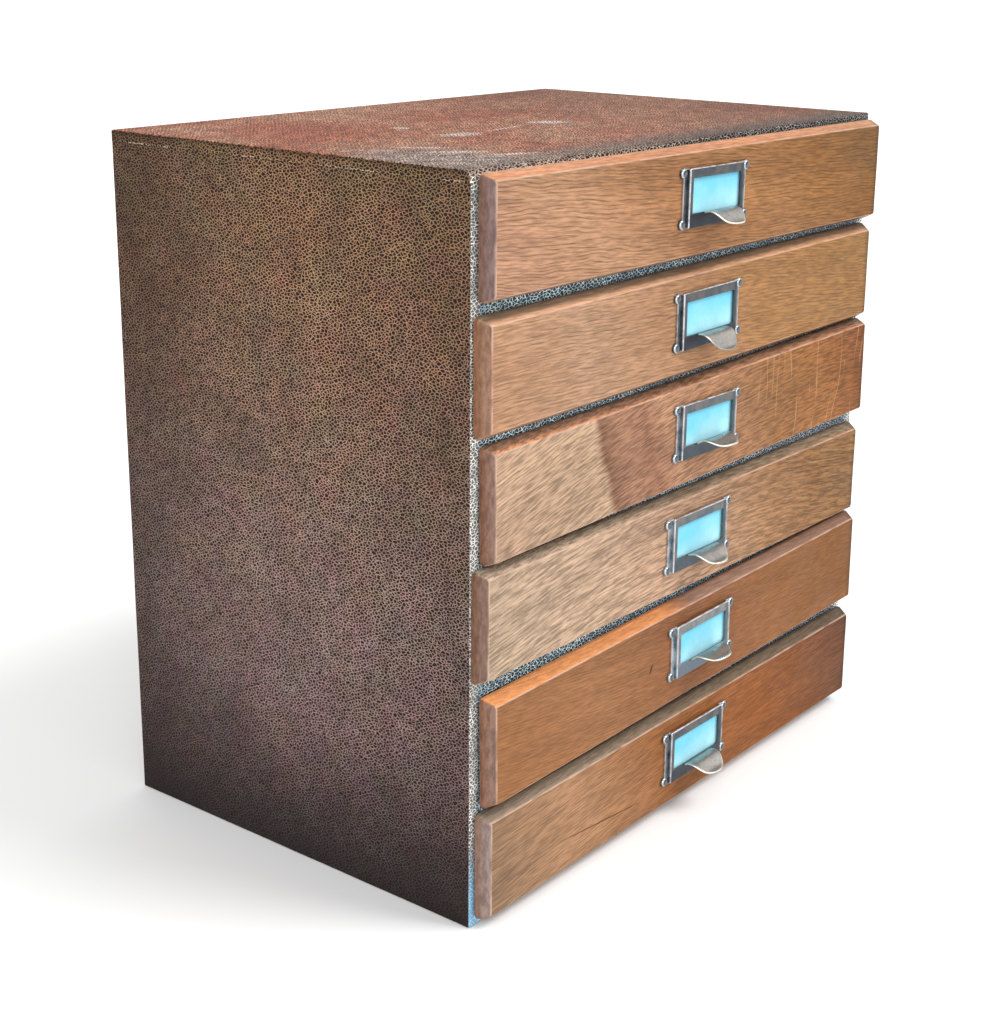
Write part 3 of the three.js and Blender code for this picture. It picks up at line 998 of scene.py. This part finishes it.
def front_size(name, place):
    """The front's width, thickness and height along its own axes, and how wide its bevels are."""
    inverse = place.inverted()
    points = [inverse @ vertex.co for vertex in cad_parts[name].data.vertices]
    size = Vector([2 * max(abs(point[axis]) for point in points) for axis in range(3)])
    size.y /= 2
    face_width = 2 * max(point.x for point in points if point.y < 0.5 * MM - size.y)
    return size, (size.x - face_width) / 2


def uneven_point(index, x, y, z, share):
    """Moves a point of the bevel a little, as a plane and years of handling leave it."""
    reach = ARRIS_WOBBLE * share
    push = noise.noise_vector(Vector((55 * x, 3.1 * index, 55 * z)))
    return (x + reach * push.x, y, z + reach * push.z)


def plate_outline(side):
    """The plate's left or right end as (x, z) points, with a round ear at each corner."""
    x_edge, z_edge = PLATE["half_width"], PLATE["half_height"]
    inner_x = HOLDER["half_width"] - 1.0 * MM
    start = math.acos((x_edge - EAR["reach"]) / EAR["radius"])
    end = math.asin((z_edge - EAR["rise"]) / EAR["radius"])
    arc = [-start + (math.pi - end + start) * step / 14 for step in range(15)]
    upper = [round_point(EAR["reach"], EAR["rise"], EAR["radius"], angle) for angle in arc]
    upper.append((inner_x, z_edge))
    lower = [(x, -z) for x, z in reversed(upper)]
    return [(side * x, z) for x, z in upper + lower]


def add_plate_end(bm, side):
    """One end of the flange: its outline, extruded by the thickness of the sheet, with rounded edges."""
    outline = plate_outline(side)
    part = bmesh.new()
    skin(part, [[(x, y, z) for x, z in outline] for y in (0, -SHEET)])
    edges = [edge for edge in part.edges if edge.calc_face_angle(0) > SHARP_ANGLE]
    bmesh.ops.bevel(part, geom=edges, offset=0.22 * MM, segments=2, affect="EDGES")
    mesh = mesh_from("plate_end", part)
    bm.from_mesh(mesh)
    bpy.data.meshes.remove(mesh)


# How wide the step at each side of the card's slot is, as a share of the frame's half width
SLOT_SIDE = 0.004


def add_holder(bm):
    """The raised frame: walls, rounded folds, and a face with the window pressed a little inwards."""
    half_width, half_height, depth = HOLDER["half_width"], PLATE["half_height"], HOLDER["depth"]
    inner_x, inner_z = half_width - SHEET, half_height - SHEET
    place = CARD_SLOT["half_width"] / (half_width - HOLDER["corner"])
    beside = place + SLOT_SIDE
    across = [-beside, -place] + [place * step / 6 for step in range(-5, 6)] + [place, beside]
    up = even_places(2 * half_height, 4 * MM)
    loops = []

    def add_loop(wide, high, corner, y, rise=0.0, base=False):
        flat = rounded_rectangle(wide, high, corner, across, up, rise)
        loops.append([(x, slot_depth(x, z, inner_z) if base else y, z) for x, z in flat])

    fold = rounded_path([(0, 0, 0), (0, -depth, HOLDER["fold"]), (3 * MM, -depth, 0)], 5)
    rim = rounded_path([(-0.8 * MM, -depth, 0), (0, -depth, 0.4 * MM), (0, SHEET - depth, 0)], 3)
    add_loop(half_width, half_height, HOLDER["corner"], 0, base=True)
    for inset, y in fold[1:-1]:
        add_loop(half_width - inset, half_height - inset, HOLDER["corner"] - 0.6 * inset, y)
    for inset, y in rim:
        wide, high = WINDOW["half_width"] - inset, WINDOW["half_height"] - inset
        add_loop(wide, high, WINDOW["corner"], y, WINDOW["rise"])
    add_loop(inner_x, inner_z, 0.5 * MM, SHEET - depth)
    add_loop(inner_x, inner_z, 0.5 * MM, 0, base=True)
    skin(bm, loops, closed=True)


def slot_depth(x, z, inner_z):
    """How far out the wall starts: at the plate, or past the slot where the card slides in."""
    in_slot = z > inner_z - 0.01 * MM and abs(x) <= CARD_SLOT["half_width"] + 0.01 * MM
    return -CARD_SLOT["depth"] if in_slot else 0.0


def lip_profile(droop):
    """The lip's S-curve as (outward, upward) points in metres, bent down about its root."""
    turn = Matrix.Rotation(-math.radians(droop), 2)
    points = [turn @ Vector(point) * MM for point in LIP_CURVE]
    ends = [2 * points[0] - points[1]] + points + [2 * points[-1] - points[-2]]
    path = []
    for before, start, end, after in zip(ends, ends[1:], ends[2:], ends[3:]):
        path += [spline_point(before, start, end, after, step / 6) for step in range(6)]
    return path + [points[-1]]


def spline_point(before, start, end, after, share):
    """A point of the smooth curve between start and end, at this share of the way."""
    square, cube = share ** 2, share ** 3
    return 0.5 * (2 * start + (end - before) * share + (2 * before - 5 * start + 4 * end - after) * square
                  + (3 * start - before - 3 * end + after) * cube)


def lip_section(point, tangent, half_width, dish):
    """The tongue's cross-section: a flat strip with rounded edges, dished a little along its middle."""
    normal = Vector((-tangent.y, tangent.x))
    half_sheet = LIP["sheet"] / 2
    round_x = min(half_sheet, 0.4 * half_width)
    columns = 14
    outline = []
    for face in (1, -1):
        outline += [(face * (half_width - round_x) * (2 * column / columns - 1), face * half_sheet)
                    for column in range(columns + 1)]
        outline.append((face * (half_width - 0.3 * round_x), face * 0.7 * half_sheet))
        outline.append((face * half_width, 0))
        outline.append((face * (half_width - 0.3 * round_x), -face * 0.7 * half_sheet))
    loop = []
    for across, lift in outline:
        lift += dish * ((across / LIP["half_width"]) ** 2 - 0.4) - half_sheet
        place = point + normal * lift
        loop.append((across, -HOLDER["depth"] - place.x, WINDOW["rise"] - WINDOW["half_height"] + place.y))
    return loop


def add_lip(bm, droop):
    """The thumb lip: a tongue with a round end that leaves the window's lower edge."""
    path = lip_profile(droop)
    reach = path[-1].x
    straight = LIP["straight"]
    stations = [path[0].x + (straight - path[0].x) * step / 8 for step in range(8)]
    stations += [straight + (reach - straight) * math.sin(math.radians(4.2 * step)) for step in range(21)]
    loops = []
    for outward in stations:
        past = max(outward - straight, 0) / (reach - straight)
        point, tangent = on_path(path, outward)
        dish = 0.5 * MM * min(max(outward, 0) / straight, 1)
        loops.append(lip_section(point, tangent, LIP["half_width"] * math.sqrt(1 - past * past), dish))
    skin(bm, loops)


def on_path(path, outward):
    """The point of the path this far out, and the path's direction there."""
    last = len(path) - 1
    index = next(count for count in range(1, last + 1) if path[count].x >= outward or count == last)
    start, end = path[index - 1], path[index]
    share = (outward - start.x) / (end.x - start.x)
    ahead = path[min(index + 1, last)] - path[max(index - 2, 0)]
    return start.lerp(end, share), ahead.normalized()


def build_pull(index, material):
    name = f"drawer_{index}_pull"
    place = placed(f"drawer_{index}_card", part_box(name)[1][1])
    bm = bmesh.new()
    for side in (-1, 1):
        add_plate_end(bm, side)
    add_holder(bm)
    add_lip(bm, LIP_DROOP[index - 1])
    pull = add_piece(f"{name}_pressing", bm, material, f"drawer_{index}", place)
    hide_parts(name)
    return place


def build_pins(index, place, material):
    """Four round-headed pins, one through each ear of the pull."""
    ears = [(-1, 1), (1, 1), (-1, -1), (1, -1)]
    for count, (x_side, z_side) in enumerate(ears, start=1):
        bm = bmesh.new()
        loops = [pin_ring(radius * MM, height * MM) for radius, height in PIN]
        skin(bm, loops)
        seat = Matrix.Translation((x_side * EAR["reach"], -SHEET, z_side * EAR["rise"]))
        pin = add_piece(f"drawer_{index}_pin_{count}", bm, material, f"drawer_{index}", place @ seat)


def pin_ring(radius, height, sides=20):
    angles = [2 * math.pi * side / sides for side in range(sides)]
    return [(radius * math.cos(angle), -height, radius * math.sin(angle)) for angle in angles]


def build_drawers():
    box_wood = plain_wood("box_wood", paint(206, 168, 120), paint(178, 136, 90), (1, 0.08, 1))
    pins = pin_metal()
    for index in DRAWERS:
        build_front(index)
        place = build_pull(index, pull_metal(index))
        build_pins(index, place, pins)
        soften(f"drawer_{index}_card", card_stock(index, place.translation), 0.08 * MM)
        for part in ("left_side", "right_side", "bottom", "back"):
            soften(f"drawer_{index}_{part}", box_wood)


# ---- Studio ----

def direction(azimuth, elevation):
    """The unit vector towards a place round the cabinet, from straight in front of it."""
    azimuth, elevation = math.radians(azimuth), math.radians(elevation)
    return Vector((math.sin(azimuth) * math.cos(elevation), -math.cos(azimuth) * math.cos(elevation),
                   math.sin(elevation)))


def build_camera():
    data = bpy.data.cameras.new("camera")
    data.lens = CAMERA["lens"]
    data.shift_x, data.shift_y = CAMERA["shift"]
    camera = add_object("camera", data)
    back = direction(CAMERA["azimuth"], CAMERA["elevation"])
    turn = back.to_track_quat("Z", "Y").to_matrix().to_4x4()
    roll = Matrix.Rotation(math.radians(CAMERA["roll"]), 4, "Z")
    stand = Vector(CAMERA["target"]) + CAMERA["distance"] * back
    camera.matrix_world = Matrix.Translation(stand) @ turn @ roll
    bpy.context.scene.camera = camera


def build_light():
    world = bpy.data.worlds.new("room")
    world.use_nodes = True
    world.node_tree.nodes["Background"].inputs["Color"].default_value = (1, 1, 1, 1)
    world.node_tree.nodes["Background"].inputs["Strength"].default_value = ROOM_LIGHT
    bpy.context.scene.world = world
    bpy.context.scene.view_settings.view_transform = "Standard"
    for name, light in LIGHTS.items():
        data = bpy.data.lights.new(name, "SUN")
        data.energy = light["strength"]
        data.angle = math.radians(light["spread"])
        lamp = add_object(name, data)
        towards = direction(light["azimuth"], light["elevation"])
        lamp.rotation_euler = towards.to_track_quat("Z", "Y").to_euler()


def build_floor():
    look = Look("floor")
    mottle = look.place.noise(3, 2)
    white = mottle.between(0.3, 0.7, 0.99, 1.0) * (0.9, 0.9, 0.9)
    material = look.join(white, 0.8, mottle, 0.1 * MM, 0.1)
    bm = bmesh.new()
    half = FLOOR_SIZE / 2
    bm.faces.new([bm.verts.new((x * half, y * half, 0)) for x, y in ((-1, -1), (1, -1), (1, 1), (-1, 1))])
    mesh = mesh_from("floor", bm)
    mesh.materials.append(material)
    add_object("floor", mesh)


noise.seed_set(NOISE_SEED)
build_camera()
build_light()
build_floor()
build_case()
build_drawers()
